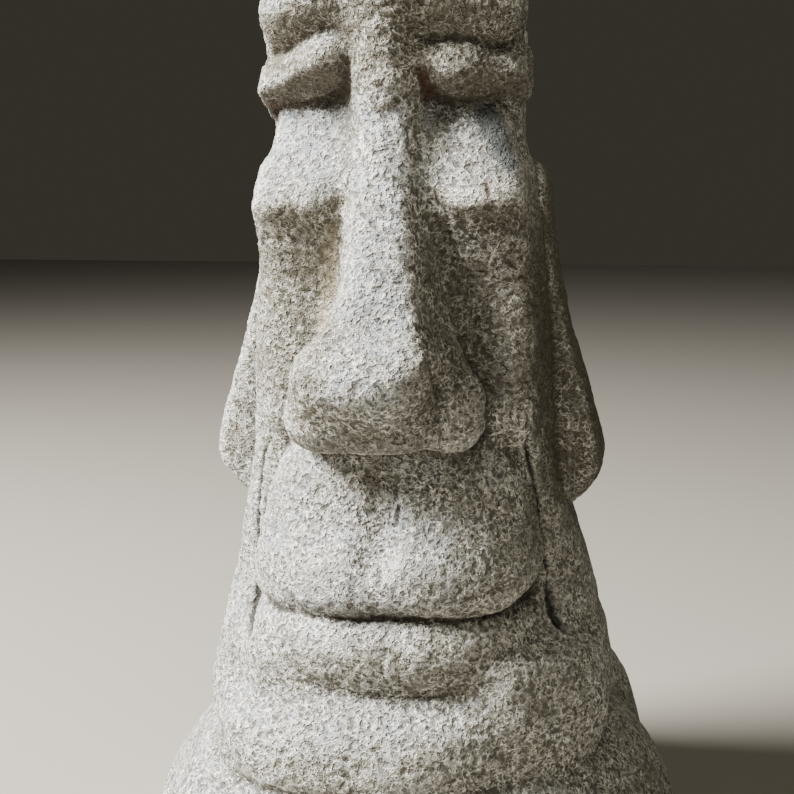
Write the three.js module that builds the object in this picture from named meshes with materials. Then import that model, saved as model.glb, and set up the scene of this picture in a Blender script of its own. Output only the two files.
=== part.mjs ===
// A moai garden statue: a long stone head on a flared round foot, cast in one piece.
// Millimetres, +Z up. The face looks along -Y, and the origin is the middle of the flat underside.
//
// The head is built up as a sculptor would: named masses of clay are added and blended into each
// other, then a net of rows and columns is pulled tight over the result.
import * as THREE from "three";

const { lerp, smoothstep, clamp, degToRad } = THREE.MathUtils;

// ---- Driving dimensions ----
const FOOT = { halfWidth: 131, halfDepth: 132.5, rise: 106, profile: 1.7, plan: 2.05 };
const STONE = { colour: 0x9a968a, roughness: 0.93 };

// The trunk is the block behind the face: at each height its half width, where its front and its
// back lie, where it is widest, the rounding of its front corners and how much it narrows behind.
const TRUNK = [
  { z: -30, halfWidth: 78, front: -60, back: 78, widest: -10, corner: 50, taper: 0 },
  { z: 45, halfWidth: 86, front: -70, back: 84, widest: -12, corner: 50, taper: 0 },
  { z: 75, halfWidth: 96, front: -76, back: 90, widest: -15, corner: 52, taper: 0 },
  { z: 101, halfWidth: 92.8, front: -70, back: 90, widest: -16, corner: 48, taper: 0 },
  { z: 121, halfWidth: 89.2, front: -58, back: 88, widest: -18, corner: 40, taper: 0 },
  { z: 136, halfWidth: 85.2, front: -51, back: 86, widest: -23, corner: 32, taper: 0 },
  { z: 152, halfWidth: 81.2, front: -50, back: 84, widest: -28, corner: 22, taper: 0.0001 },
  { z: 167, halfWidth: 77.5, front: -52, back: 82, widest: -32, corner: 20, taper: 0.0003 },
  { z: 182, halfWidth: 73.8, front: -57, back: 80, widest: -32, corner: 23, taper: 0.0005 },
  { z: 203, halfWidth: 71, front: -62, back: 77, widest: -28, corner: 24, taper: 0.0007 },
  { z: 246, halfWidth: 68.5, front: -66, back: 72, widest: -30, corner: 24, taper: 0.001 },
  { z: 288, halfWidth: 65, front: -68, back: 68, widest: -34, corner: 22, taper: 0.0014 },
  { z: 306, halfWidth: 62.5, front: -66, back: 66, widest: -38, corner: 18, taper: 0.0016 },
  { z: 326, halfWidth: 59, front: -63, back: 64, widest: -45, corner: 12, taper: 0.0018 },
  { z: 344, halfWidth: 56, front: -62, back: 62, widest: -52, corner: 9, taper: 0.0018 },
  { z: 372, halfWidth: 56.5, front: -70, back: 58, widest: -58, corner: 11, taper: 0.0018 },
  { z: 387, halfWidth: 55.5, front: -74, back: 55, widest: -60, corner: 14, taper: 0.0018 },
  { z: 440, halfWidth: 53, front: -74, back: 45, widest: -56, corner: 16, taper: 0.0018 },
];
const TRUNK_BACK_ROUNDNESS = 2.4;
const CROWN = { height: 430, middle: -22, fall: 0.0019, rounding: 34 };

// ---- Measures of the clay: each gives the distance from a point to a mass, negative inside ----

// A smooth curve through the values that a table gives at each height.
function curveThrough(table, key) {
  const slopeAt = (i) => {
    const below = table[Math.max(i - 1, 0)];
    const above = table[Math.min(i + 1, table.length - 1)];
    return (above[key] - below[key]) / (above.z - below.z);
  };
  return (z) => {
    let i = 0;
    while (i < table.length - 2 && z > table[i + 1].z) i++;
    const [a, b] = [table[i], table[i + 1]];
    const span = b.z - a.z;
    const t = clamp((z - a.z) / span, 0, 1);
    const [t2, t3] = [t * t, t * t * t];
    return (
      a[key] * (2 * t3 - 3 * t2 + 1) +
      slopeAt(i) * span * (t3 - 2 * t2 + t) +
      b[key] * (3 * t2 - 2 * t3) +
      slopeAt(i + 1) * span * (t3 - t2)
    );
  };
}

function pillow([x, y, z], [cx, cy, cz], [rx, ry, rz], squareness = 2) {
  const q = Math.pow(
    Math.pow(Math.abs(x - cx) / rx, squareness) +
      Math.pow(Math.abs(y - cy) / ry, squareness) +
      Math.pow(Math.abs(z - cz) / rz, squareness),
    1 / squareness,
  );
  return (q - 1) * Math.min(rx, ry, rz);
}

function strand([x, y, z], a, b, radiusA, radiusB) {
  const [ux, uy, uz] = [b[0] - a[0], b[1] - a[1], b[2] - a[2]];
  const along = (x - a[0]) * ux + (y - a[1]) * uy + (z - a[2]) * uz;
  const t = clamp(along / (ux * ux + uy * uy + uz * uz), 0, 1);
  return Math.hypot(x - a[0] - t * ux, y - a[1] - t * uy, z - a[2] - t * uz) - lerp(radiusA, radiusB, t);
}

// Strands laid end to end along a path of [x, y, z, radius].
function rope(p, path, blend) {
  return path.slice(1).reduce((d, b, i) => {
    const a = path[i];
    return join(d, strand(p, a, b, a[3], b[3]), blend);
  }, Infinity);
}

// A slope through two points of the profile (y, z), upper one first, with the stone behind it.
function slope([, y, z], [ya, za], [yb, zb]) {
  return ((y - ya) * (zb - za) - (z - za) * (yb - ya)) / Math.hypot(yb - ya, zb - za);
}

function join(a, b, radius = 0.01) {
  const h = Math.max(radius - Math.abs(a - b), 0) / radius;
  return Math.min(a, b) - (h * h * radius) / 4;
}
const overlap = (a, b, radius) => -join(-a, -b, radius);
const cut = (a, b, radius) => overlap(a, -b, radius);

// ---- The masses ----
const trunkAt = Object.fromEntries(
  ["halfWidth", "front", "back", "widest", "corner", "taper"].map((key) => [
    key,
    curveThrough(TRUNK, key),
  ]),
);

function trunk([x, y, z]) {
  const halfWidth = trunkAt.halfWidth(z);
  const widest = trunkAt.widest(z);
  const corner = trunkAt.corner(z);
  let d;
  if (y < widest) {
    const [sx, sy] = [x - (halfWidth - corner), trunkAt.front(z) + corner - y];
    d = Math.hypot(Math.max(sx, 0), Math.max(sy, 0)) + Math.min(Math.max(sx, sy), 0) - corner;
  } else {
    const depth = trunkAt.back(z) - widest;
    const across = x / (1 - trunkAt.taper(z) * (y - widest)) / halfWidth;
    const along = (y - widest) / depth;
    const q = Math.pow(across, TRUNK_BACK_ROUNDNESS) + Math.pow(along, TRUNK_BACK_ROUNDNESS);
    const round = (Math.pow(q, 1 / TRUNK_BACK_ROUNDNESS) - 1) * Math.min(halfWidth, depth);
    d = Math.max(round, trunkAt.front(z) - y);
  }
  return d;
}

function foot([x, y, z]) {
  const plan = Math.pow(
    Math.pow(x / FOOT.halfWidth, FOOT.plan) + Math.pow(Math.abs(y) / FOOT.halfDepth, FOOT.plan),
    1 / FOOT.plan,
  );
  const q = Math.pow(plan, FOOT.profile) + Math.pow(Math.abs(z) / FOOT.rise, FOOT.profile);
  return (Math.pow(q, 1 / FOOT.profile) - 1) * FOOT.rise * 0.8;
}

// The underside of the forehead rises from the temples towards the nose.
function forehead([x, y, z]) {
  const bulge = pillow([x, y, z + 0.16 * (x - 50)], [0, -66, 404], [59, 32, 35.5], 3.1);
  const root = strand([x, y, z], [0, -80, 392], [0, -75, 352], 17, 15);
  return join(bulge, root, 12);
}

// The gently domed top that closes the head.
function crownDome([x, y, z]) {
  return z - CROWN.height + CROWN.fall * (x * x + Math.pow(y - CROWN.middle, 2));
}

const browRoll = (p) => strand(p, [22, -78, 366], [46, -63, 359], 11.5, 12.5);

// The cheek block: a sloping plane under the eye, a ledge, and a plane falling back below it.
const CHEEK_SIDE = [
  { z: 180, reach: 66 },
  { z: 246, reach: 66 },
  { z: 288, reach: 63 },
  { z: 306, reach: 61.5 },
  { z: 318, reach: 59.5 },
  { z: 326, reach: 58 },
  { z: 334, reach: 55 },
  { z: 350, reach: 51 },
];
const cheekReach = curveThrough(CHEEK_SIDE, "reach");
const CHEEK_FRONT = [
  { z: 190, front: -71 },
  { z: 225, front: -72 },
  { z: 250, front: -72.5 },
  { z: 270, front: -74 },
  { z: 285, front: -78.5 },
  { z: 298, front: -86 },
  { z: 308, front: -93 },
];
const cheekFront = curveThrough(CHEEK_FRONT, "front");

function cheek(p) {
  const eyePlane = slope(p, [-66, 354], [-92, 306]);
  const hollow = cheekFront(p[2]) - p[1];
  const face = overlap(eyePlane, hollow, 4);
  const rounding = lerp(26, 10, smoothstep(p[2], 300, 345));
  const block = overlap(face, p[0] - cheekReach(p[2]), rounding);
  const kept = Math.max(p[1] + 20, p[2] - 385);
  return overlap(overlap(block, kept, 2), 190 - p[2], 30);
}

function nose(p) {
  const ridge = rope(
    p,
    [
      [0, -73, 362, 14],
      [0, -75, 332, 14.5],
      [0, -84, 306, 15.5],
      [0, -91, 283, 16.5],
      [0, -95, 260, 18],
      [0, -99, 243, 20.5],
    ],
    6,
  );
  const tip = pillow(p, [0, -102, 227], [31, 29.5, 21], 2.5);
  const wing = rope(
    p,
    [
      [24, -86, 244, 8],
      [31, -86, 226, 13],
      [33, -84, 214, 15],
    ],
    4,
  );
  return join(join(ridge, tip, 16), wing, 3);
}

const mouthHeight = (x) => 127 + 14 * Math.pow(x / 65, 7);

function upperLip(p) {
  const muzzle = pillow(p, [0, -44, 160], [65, 48, 60], 3);
  const pad = pillow(p, [0, -56, 145], [62, 53, 27], 2.6);
  const philtrum = strand(p, [0, -99, 190], [0, -102, 166], 7, 6);
  return overlap(cut(join(muzzle, pad, 16), philtrum, 6), mouthHeight(p[0]) - p[2], 9);
}

const lowerLip = (p) => pillow(p, [0, -48, 114], [73, 55, 25], 2.5);
const jaw = (p) => pillow(p, [0, -24, 69], [88, 89, 30], 2.4);

// The crease that runs from beside the nose down past the mouth, and the pocket it ends in.
function foldPath(p) {
  const crease = rope(
    p,
    [
      [57, -66, 212, 1.5],
      [61, -58, 180, 3],
      [66, -54, 160, 3.5],
      [69, -51, 138, 4],
      [74, -47, 112, 5],
    ],
    2,
  );
  const pocket = pillow(p, [77, -44, 110], [5, 9, 12], 2);
  return join(crease, pocket, 3);
}

const EAR = [
  { z: 150, reach: 70 },
  { z: 168, reach: 90 },
  { z: 180, reach: 92.5 },
  { z: 195, reach: 92.5 },
  { z: 205, reach: 90.3 },
  { z: 220, reach: 86 },
  { z: 235, reach: 81 },
  { z: 250, reach: 77 },
  { z: 265, reach: 73.5 },
  { z: 280, reach: 70.5 },
  { z: 308, reach: 67.5 },
  { z: 318, reach: 66 },
  { z: 330, reach: 63 },
];
const earReach = curveThrough(EAR, "reach");
const EAR_FRONT = -38;
const EAR_BACK = -10;

function ear(p) {
  const [x, y, z] = p;
  const front = EAR_FRONT - y;
  const back = y - EAR_BACK;
  const slab = overlap(x - earReach(z), overlap(front, back, 6), 8);
  const lobe = (x - 78) * 0.62 - (z - 168) * 0.78;
  return overlap(overlap(slab, lobe, 10), z - 328, 12);
}

function clay(point) {
  const p = [Math.abs(point[0]), point[1], point[2]];
  const neckBlend = lerp(2, 45, smoothstep(p[1], 15, 90));
  const browBlend = lerp(14, 3, smoothstep(p[0], 12, 34));
  let d = join(join(trunk(p), jaw(p), 8), foot(p), neckBlend);
  d = overlap(join(d, forehead(p), 8), crownDome(p), CROWN.rounding);
  d = join(d, cheek(p), 3);
  d = join(d, browRoll(p), browBlend);
  d = join(d, ear(p), 2);
  d = join(d, lowerLip(p), lerp(5, 14, smoothstep(p[0], 30, 60)));
  d = join(d, upperLip(p), 1.5);
  d = cut(d, foldPath(p), 3);
  d = join(d, nose(p), 7);
  return d;
}

// ---- The net ----

// Each guide line runs round the head along a feature: its height at the front, its height at the
// corners of the face, and the number of rows up to the next one.
const GUIDES = [
  { front: 0, corner: 0, rows: 5 }, // ground
  { front: 54, corner: 61, rows: 7 }, // under the chin and jaw
  { front: 97, corner: 97, rows: 5 }, // the hollow under the lower lip
  { front: 125.5, corner: 134, rows: 5 }, // the mouth
  { front: 166, corner: 168, rows: 4 }, // under the ear lobes
  { front: 200, corner: 196, rows: 5 }, // under the nose
  { front: 240, corner: 240, rows: 7 }, // above the nose wings
  { front: 306, corner: 304, rows: 6 }, // the ledge of the cheek
  { front: 356, corner: 349, rows: 3 }, // under the brow
  { front: 376, corner: 369, rows: 4 }, // the crease above the brow
  { front: 396, corner: 396, rows: 0 }, // where the crown begins to close
];
const FRONT_HALF_ANGLE = degToRad(25);
const CORNER_ANGLE = degToRad(65);
const CROWN_ROWS = 6;
const SPINE_FRONT = -58;
const SPINE_BACK = 15;
const CROWN_PEAK = -35;
const SETTLING_PASSES = 14;
const TAUT = 7.5;
const PROBE = 0.05;
const TOUCH = 0.05;

// The columns crowd together at the nose and at the ears: degrees from the front, and their number.
const SECTORS = [
  { upTo: 20, columns: 7 },
  { upTo: 60, columns: 16 },
  { upTo: 86, columns: 11 },
  { upTo: 180, columns: 9 },
];

function columnAngles() {
  const half = [0];
  for (const { upTo, columns } of SECTORS) {
    const from = half[half.length - 1];
    for (let i = 1; i <= columns; i++) half.push(lerp(from, upTo, i / columns));
  }
  const left = half
    .slice(1, -1)
    .map((angle) => -angle)
    .reverse();
  return [...left, ...half].map(degToRad);
}

// From well outside, a thread is drawn in towards the spine until it touches the clay.
function pullTight(spine, direction) {
  const at = (r) => spine.map((s, i) => s + direction[i] * r);
  let r = 230;
  let d = clay(at(r));
  while (d > TOUCH && r > 1) {
    r -= Math.max(d * 0.6, 2 * TOUCH);
    d = clay(at(r));
  }
  return at(r);
}

// The threads of the front columns aim at the front of the head's middle plane, those of the back
// columns at its back, and all of them at one middle line down in the foot.
function aim(angle, z) {
  const inHead = lerp(SPINE_FRONT, SPINE_BACK, smoothstep(Math.abs(angle), 0, degToRad(105)));
  return inHead * smoothstep(z, -60, 110);
}

function netRings() {
  const angles = columnAngles();
  const crown = GUIDES[GUIDES.length - 1].front;
  const rings = [];
  for (let g = 0; g < GUIDES.length - 1; g++) {
    const [low, high] = [GUIDES[g], GUIDES[g + 1]];
    for (let i = 0; i < low.rows; i++) {
      const t = i / low.rows;
      const front = lerp(low.front, high.front, t);
      const corner = lerp(low.corner, high.corner, t);
      const ring = angles.map((angle) => {
        const z = lerp(front, corner, smoothstep(Math.abs(angle), FRONT_HALF_ANGLE, CORNER_ANGLE));
        return pullTight([0, aim(angle, z), z], [Math.sin(angle), -Math.cos(angle), 0]);
      });
      rings.push(ring);
    }
  }
  for (let i = 0; i < CROWN_ROWS; i++) {
    const t = i / CROWN_ROWS;
    const lift = (Math.PI / 2) * t;
    const level = Math.cos(lift);
    const ring = angles.map((angle) => {
      const spine = [0, lerp(aim(angle, crown), CROWN_PEAK, smoothstep(t, 0, 1)), crown];
      return pullTight(spine, [Math.sin(angle) * level, -Math.cos(angle) * level, Math.sin(lift)]);
    });
    rings.push(ring);
  }
  return rings;
}

// A knot whose threads are overstretched moves towards its neighbours and is pressed back onto the
// clay; the others keep their place.
function settle(knot, neighbours) {
  const threads = neighbours.map((n) => Math.hypot(n[0] - knot[0], n[1] - knot[1], n[2] - knot[2]));
  const slack = smoothstep(Math.max(...threads), TAUT, 2 * TAUT) * 0.6;
  if (slack === 0) return knot;
  const average = (i) => neighbours.reduce((sum, n) => sum + n[i], 0) / neighbours.length;
  const middle = knot.map((value, i) => lerp(value, average(i), slack));
  for (let press = 0; press < 3; press++) {
    const d = clay(middle);
    const gradient = [0, 1, 2].map((i) => {
      const aside = [...middle];
      aside[i] += PROBE;
      return (clay(aside) - d) / PROBE;
    });
    const steepness = Math.max(gradient.reduce((sum, g) => sum + g * g, 0), 0.2);
    gradient.forEach((g, i) => (middle[i] -= (d * g) / steepness));
  }
  return middle;
}

// The net slackens where it was stretched over a steep side; its bottom row stays on the ground.
function slacken(rings) {
  const columns = rings[0].length;
  return rings.map((ring, row) => {
    if (row === 0 || row === rings.length - 1) return ring;
    return ring.map((knot, c) => {
      const beside = [ring[(c + 1) % columns], ring[(c + columns - 1) % columns]];
      return settle(knot, [rings[row - 1][c], rings[row + 1][c], ...beside]);
    });
  });
}

function headGeometry() {
  let rings = netRings();
  for (let pass = 0; pass < SETTLING_PASSES; pass++) rings = slacken(rings);
  const columns = rings[0].length;
  const crown = pullTight([0, CROWN_PEAK, GUIDES[GUIDES.length - 1].front], [0, 0, 1]);
  const underside = [0, 0, 0];
  const points = [...rings.flat(), underside, crown];
  const undersideIndex = points.length - 2;
  const crownIndex = points.length - 1;
  const triangles = [];
  rings.forEach((ring, row) => {
    for (let c = 0; c < columns; c++) {
      const a = row * columns + c;
      const b = row * columns + ((c + 1) % columns);
      if (row === 0) triangles.push(undersideIndex, b, a);
      if (row === rings.length - 1) triangles.push(a, b, crownIndex);
      else triangles.push(a, b, b + columns, a, b + columns, a + columns);
    }
  });
  const geometry = new THREE.BufferGeometry();
  geometry.setAttribute("position", new THREE.Float32BufferAttribute(points.flat(), 3));
  geometry.setIndex(triangles);
  geometry.computeVertexNormals();
  return geometry;
}

const stone = new THREE.MeshStandardMaterial({
  color: STONE.colour,
  roughness: STONE.roughness,
  metalness: 0,
});
const statue = new THREE.Mesh(headGeometry(), stone);
statue.name = "moai_statue";

const part = new THREE.Group();
part.add(statue);

export default part;
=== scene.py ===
import math

import bpy
import numpy as np
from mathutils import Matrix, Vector, noise
from mathutils.bvhtree import BVHTree


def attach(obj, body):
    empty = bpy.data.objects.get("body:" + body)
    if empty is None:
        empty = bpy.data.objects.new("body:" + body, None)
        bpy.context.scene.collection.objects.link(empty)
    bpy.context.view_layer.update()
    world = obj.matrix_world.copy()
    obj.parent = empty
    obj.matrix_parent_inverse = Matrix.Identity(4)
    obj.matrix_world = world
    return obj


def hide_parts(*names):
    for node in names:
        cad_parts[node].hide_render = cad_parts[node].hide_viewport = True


# A moai garden statue in cast stone. Lengths in the tables are in millimetres, in the part's own
# frame: the face looks along -Y, and the ground is z = 0. MM turns them into Blender's metres.
MM = 0.001

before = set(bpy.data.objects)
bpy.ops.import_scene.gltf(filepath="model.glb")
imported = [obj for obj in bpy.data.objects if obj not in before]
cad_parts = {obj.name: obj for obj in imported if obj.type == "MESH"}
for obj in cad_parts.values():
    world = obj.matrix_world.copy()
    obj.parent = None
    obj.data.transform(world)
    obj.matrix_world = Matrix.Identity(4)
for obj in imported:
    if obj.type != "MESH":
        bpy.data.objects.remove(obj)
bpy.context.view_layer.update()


# ---- Camera, floor and light, in metres ----

CAMERA_PLACE = (0.1374, -0.7188, 0.311)
CAMERA_TILT, CAMERA_TURN = 82.3, 11.65
SENSOR_WIDTH, LENS = 36.0, 68.01
CLIP_START, CLIP_END = 0.05, 20.0

FLOOR_SIZE = 12.0
FLOOR_COLOUR = (0.26, 0.245, 0.215, 1.0)
FLOOR_ROUGHNESS = 0.9

SKY_COLOUR = (1.0, 0.93, 0.70, 1.0)
SKY_STRENGTH = 0.04
LIGHTS_AIM = (0.0, 0.0, 0.24)

# place, width, power in watts, colour
SOFT_LIGHTS = {
    "key": ((-1.26, -0.64, 1.51), 1.0, 262.0, (1.0, 0.975, 0.925)),
    "sky": ((0.35, -0.75, 2.0), 0.7, 11.0, (1.0, 0.94, 0.78)),
}


def make_camera():
    camera = bpy.data.cameras.new("camera")
    camera.sensor_width = SENSOR_WIDTH
    camera.lens = LENS
    camera.clip_start = CLIP_START
    camera.clip_end = CLIP_END
    holder = bpy.data.objects.new("camera", camera)
    holder.location = CAMERA_PLACE
    holder.rotation_euler = (math.radians(CAMERA_TILT), 0.0, math.radians(CAMERA_TURN))
    bpy.context.scene.collection.objects.link(holder)
    bpy.context.scene.camera = holder


def make_floor():
    bpy.ops.object.select_all(action="DESELECT")
    bpy.ops.mesh.primitive_plane_add(size=FLOOR_SIZE, location=(0.0, 0.0, 0.0))
    floor = bpy.context.object
    floor.name = "floor"
    paper = bpy.data.materials.new("pale_floor")
    paper.use_nodes = True
    shader = paper.node_tree.nodes["Principled BSDF"]
    shader.inputs["Base Color"].default_value = FLOOR_COLOUR
    shader.inputs["Roughness"].default_value = FLOOR_ROUGHNESS
    floor.data.materials.append(paper)


def add_soft_light(name, place, size, power, colour):
    light = bpy.data.lights.new(name, "AREA")
    light.shape = "DISK"
    light.size = size
    light.energy = power
    light.color = colour
    holder = bpy.data.objects.new(name, light)
    holder.location = place
    aim = Vector(LIGHTS_AIM) - Vector(place)
    holder.rotation_euler = aim.to_track_quat("-Z", "Y").to_euler()
    bpy.context.scene.collection.objects.link(holder)


def make_light():
    world = bpy.data.worlds.new("studio")
    bpy.context.scene.world = world
    world.use_nodes = True
    sky = world.node_tree.nodes["Background"]
    sky.inputs["Color"].default_value = SKY_COLOUR
    sky.inputs["Strength"].default_value = SKY_STRENGTH
    for name, (place, size, power, colour) in SOFT_LIGHTS.items():
        add_soft_light(name, place, size, power, colour)


# ---- The clay: each measure gives the distance from points to a mass, negative inside ----
#
# The points come as p = (|x|, y, z, x), so a form that is the same on both sides reads the first
# three, and one that differs from side to side reads x as well. Left means x below 0.

def curve_through(rows, column):
    """A smooth curve through one column of a table whose first column is height."""
    heights = np.array([row[0] for row in rows], float)
    values = np.array([row[column] for row in rows], float)
    last = len(rows) - 1
    slopes = np.array([
        (values[min(i + 1, last)] - values[max(i - 1, 0)])
        / (heights[min(i + 1, last)] - heights[max(i - 1, 0)])
        for i in range(len(rows))
    ])

    def at(z):
        i = np.clip(np.searchsorted(heights, z, side="left") - 1, 0, last - 1)
        span = heights[i + 1] - heights[i]
        t = np.clip((z - heights[i]) / span, 0, 1)
        t2, t3 = t * t, t * t * t
        return (
            values[i] * (2 * t3 - 3 * t2 + 1)
            + slopes[i] * span * (t3 - 2 * t2 + t)
            + values[i + 1] * (3 * t2 - 2 * t3)
            + slopes[i + 1] * span * (t3 - t2)
        )

    return at


def smoothstep(value, low, high):
    t = np.clip((value - low) / (high - low), 0, 1)
    return t * t * (3 - 2 * t)


def lerp(a, b, t):
    return a + (b - a) * t


def turned(across, start, amount):
    """How far a form falls back past a start, as the square of the way from there."""
    return amount * np.maximum(across - start, 0) ** 2


def pillow(p, centre, radii, squareness):
    q = sum((np.abs(p[i] - centre[i]) / radii[i]) ** squareness for i in range(3))
    return (q ** (1 / squareness) - 1) * min(radii)


def strand(p, a, b, radius_a, radius_b):
    u = [b[i] - a[i] for i in range(3)]
    along = sum((p[i] - a[i]) * u[i] for i in range(3))
    t = np.clip(along / sum(c * c for c in u), 0, 1)
    gap = sum((p[i] - a[i] - t * u[i]) ** 2 for i in range(3))
    return np.sqrt(gap) - lerp(radius_a, radius_b, t)


def join(a, b, radius):
    h = np.maximum(radius - np.abs(a - b), 0) / radius
    return np.minimum(a, b) - h * h * radius / 4


def overlap(a, b, radius):
    return -join(-a, -b, radius)


def cut(a, b, radius):
    return overlap(a, -b, radius)


def rope(p, path, blend):
    """Strands laid end to end along a path of (x, y, z, radius)."""
    d = strand(p, path[0], path[1], path[0][3], path[1][3])
    for a, b in zip(path[1:], path[2:]):
        d = join(d, strand(p, a, b, a[3], b[3]), blend)
    return d


def slope(p, upper, lower):
    """A slope through two points of the profile (y, z), with the stone behind it."""
    (ya, za), (yb, zb) = upper, lower
    return ((p[1] - ya) * (zb - za) - (p[2] - za) * (yb - ya)) / math.hypot(yb - ya, zb - za)


# centre, radii, squareness
PILLOWS = {
    "forehead": ((0, -66, 402), (60, 32, 37), 2.7),
    "nose_tip": ((0, -102, 232.5), (31.5, 29.5, 18), 2.4),
    "nose_under": ((0, -95, 212), (33, 20, 12.5), 2.2),
    "muzzle": ((0, -46, 160), (66, 46, 60), 2.8),
    "lip_pad": ((0, -57, 143.5), (57, 52, 28), 2.4),
    "lower_lip": ((0, -48, 113.3), (69, 61, 27.2), 2.4),
    "jaw": ((0, -24, 64.5), (88, 91, 33), 2.7),
}

# z, half width, front, back, widest, corner, taper
TRUNK = [
    (-30, 78, -60, 78, -10, 50, 0),
    (45, 86, -70, 84, -12, 50, 0),
    (75, 96, -76, 90, -15, 52, 0),
    (101, 92.8, -70, 90, -16, 48, 0),
    (121, 89.2, -58, 88, -18, 40, 0),
    (136, 85.2, -51, 86, -23, 32, 0),
    (152, 81.2, -50, 84, -28, 22, 0.0001),
    (167, 77.5, -52, 82, -32, 20, 0.0003),
    (182, 73.8, -57, 80, -32, 23, 0.0005),
    (203, 71, -62, 77, -28, 24, 0.0007),
    (246, 68.5, -66, 72, -30, 24, 0.001),
    (288, 65, -68, 68, -34, 22, 0.0014),
    (306, 62.5, -66, 66, -38, 18, 0.0016),
    (326, 59, -63, 64, -45, 12, 0.0018),
    (344, 56, -62, 62, -52, 9, 0.0018),
    (372, 56.5, -70, 58, -58, 11, 0.0018),
    (387, 55.5, -74, 55, -60, 14, 0.0018),
    (440, 53, -74, 45, -56, 16, 0.0018),
]
TRUNK_COLUMNS = ("half_width", "front", "back", "widest", "corner", "taper")
TRUNK_BACK_ROUNDNESS = 2.4
trunk_at = {name: curve_through(TRUNK, i + 1) for i, name in enumerate(TRUNK_COLUMNS)}


def trunk(p):
    x, y, z = p[:3]
    half_width, front, back, widest, corner, taper = (trunk_at[name](z) for name in TRUNK_COLUMNS)
    sx, sy = x - (half_width - corner), front + corner - y
    before = np.hypot(np.maximum(sx, 0), np.maximum(sy, 0)) + np.minimum(np.maximum(sx, sy), 0) - corner
    depth = back - widest
    behind = np.maximum(y - widest, 0)
    across = np.abs(x) / (1 - taper * behind) / half_width
    q = across ** TRUNK_BACK_ROUNDNESS + (behind / depth) ** TRUNK_BACK_ROUNDNESS
    rounded = (q ** (1 / TRUNK_BACK_ROUNDNESS) - 1) * np.minimum(half_width, depth)
    return np.where(y < widest, before, np.maximum(rounded, front - y))


FOOT_HALF_WIDTH, FOOT_HALF_DEPTH, FOOT_RISE = 131, 132.5, 106
FOOT_PROFILE, FOOT_PLAN = 1.7, 2.05
FOOT_EVENNESS = 0.8


def foot(p):
    x, y, z = p[:3]
    plan = (x / FOOT_HALF_WIDTH) ** FOOT_PLAN + (np.abs(y) / FOOT_HALF_DEPTH) ** FOOT_PLAN
    q = plan ** (FOOT_PROFILE / FOOT_PLAN) + (np.abs(z) / FOOT_RISE) ** FOOT_PROFILE
    return (q ** (1 / FOOT_PROFILE) - 1) * FOOT_RISE * FOOT_EVENNESS


FOREHEAD_HALF_WIDTH, FOREHEAD_REACH_LEFT, FOREHEAD_REACH_RIGHT = 60, 58.5, 60.5
HANG_LEFT, HANG_LEFT_FROM = 0.25, 40
HANG_RIGHT, HANG_RIGHT_FROM = 0.14, 50
FOREHEAD_UNDERSIDE = (-99, 387), (-76, 365.5)
FOREHEAD_TURN = 0.003
NOSE_ROOT = (0, -79, 392), (0, -76, 356), 17, 13


def forehead(p):
    """A bulge that hangs over the brow at both ends, with the nose's root below its middle."""
    ax, y, z, x = p
    reach = np.where(x > 0, FOREHEAD_REACH_RIGHT, FOREHEAD_REACH_LEFT)
    left, right = HANG_LEFT * (ax - HANG_LEFT_FROM), HANG_RIGHT * (ax - HANG_RIGHT_FROM)
    lowered = z + np.where(x < 0, left, right)
    bulge = pillow((ax * FOREHEAD_HALF_WIDTH / reach, y, lowered), *PILLOWS["forehead"])
    underside = slope((ax, y - FOREHEAD_TURN * ax * ax, lowered), *FOREHEAD_UNDERSIDE)
    return join(overlap(bulge, underside, radius=8), strand(p, *NOSE_ROOT), radius=10)


CROWN_HEIGHT, CROWN_MIDDLE, CROWN_FALL, CROWN_ROUNDING = 430, -22, 0.0019, 34


def crown_dome(p):
    x, y, z = p[:3]
    return z - CROWN_HEIGHT + CROWN_FALL * (x * x + (y - CROWN_MIDDLE) ** 2)


BROW_LEFT = {"height": 363, "fall": 0.33, "inner": 27.5, "outer": 62, "front": -77.5, "end": 58.5}
BROW_RIGHT = {"height": 360.5, "fall": 0.07, "inner": 32, "outer": 64, "front": -72.5, "end": 60.5}
BROW_LEVEL_AT = 25
BROW_OUTER_FRONT, BROW_LIFT, BROW_RADII = -56, 4.5, (11.5, 12.5)
BROW_ROOT, BROW_ROOT_LIFT, BROW_ROOT_RADII = (13, -77, 9), 5, (8, 11)
BROW_UNDERSIDE, BROW_UNDERSIDE_TURN = ((-90, 0), (-72, -10.5)), 0.65


def brow_roll(p):
    """A roll below the brow, flat beneath and at its end; the left one climbs towards the nose."""
    ax, y, z, x = p
    own = {name: np.where(x < 0, BROW_LEFT[name], BROW_RIGHT[name]) for name in BROW_LEFT}
    outward = ax - BROW_LEVEL_AT
    lifted = z - (own["height"] - own["fall"] * outward)
    q = (ax, y, lifted)
    inner, outer = (own["inner"], own["front"], BROW_LIFT), (own["outer"], BROW_OUTER_FRONT, BROW_LIFT)
    root_end = (own["inner"], own["front"], BROW_ROOT_LIFT)
    root = strand(q, BROW_ROOT, root_end, *BROW_ROOT_RADII)
    roll = join(strand(q, inner, outer, *BROW_RADII), root, radius=9)
    underside = slope((ax, y - BROW_UNDERSIDE_TURN * outward, lifted), *BROW_UNDERSIDE)
    return overlap(overlap(roll, underside, radius=1.5), ax - own["end"], radius=3)


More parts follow.
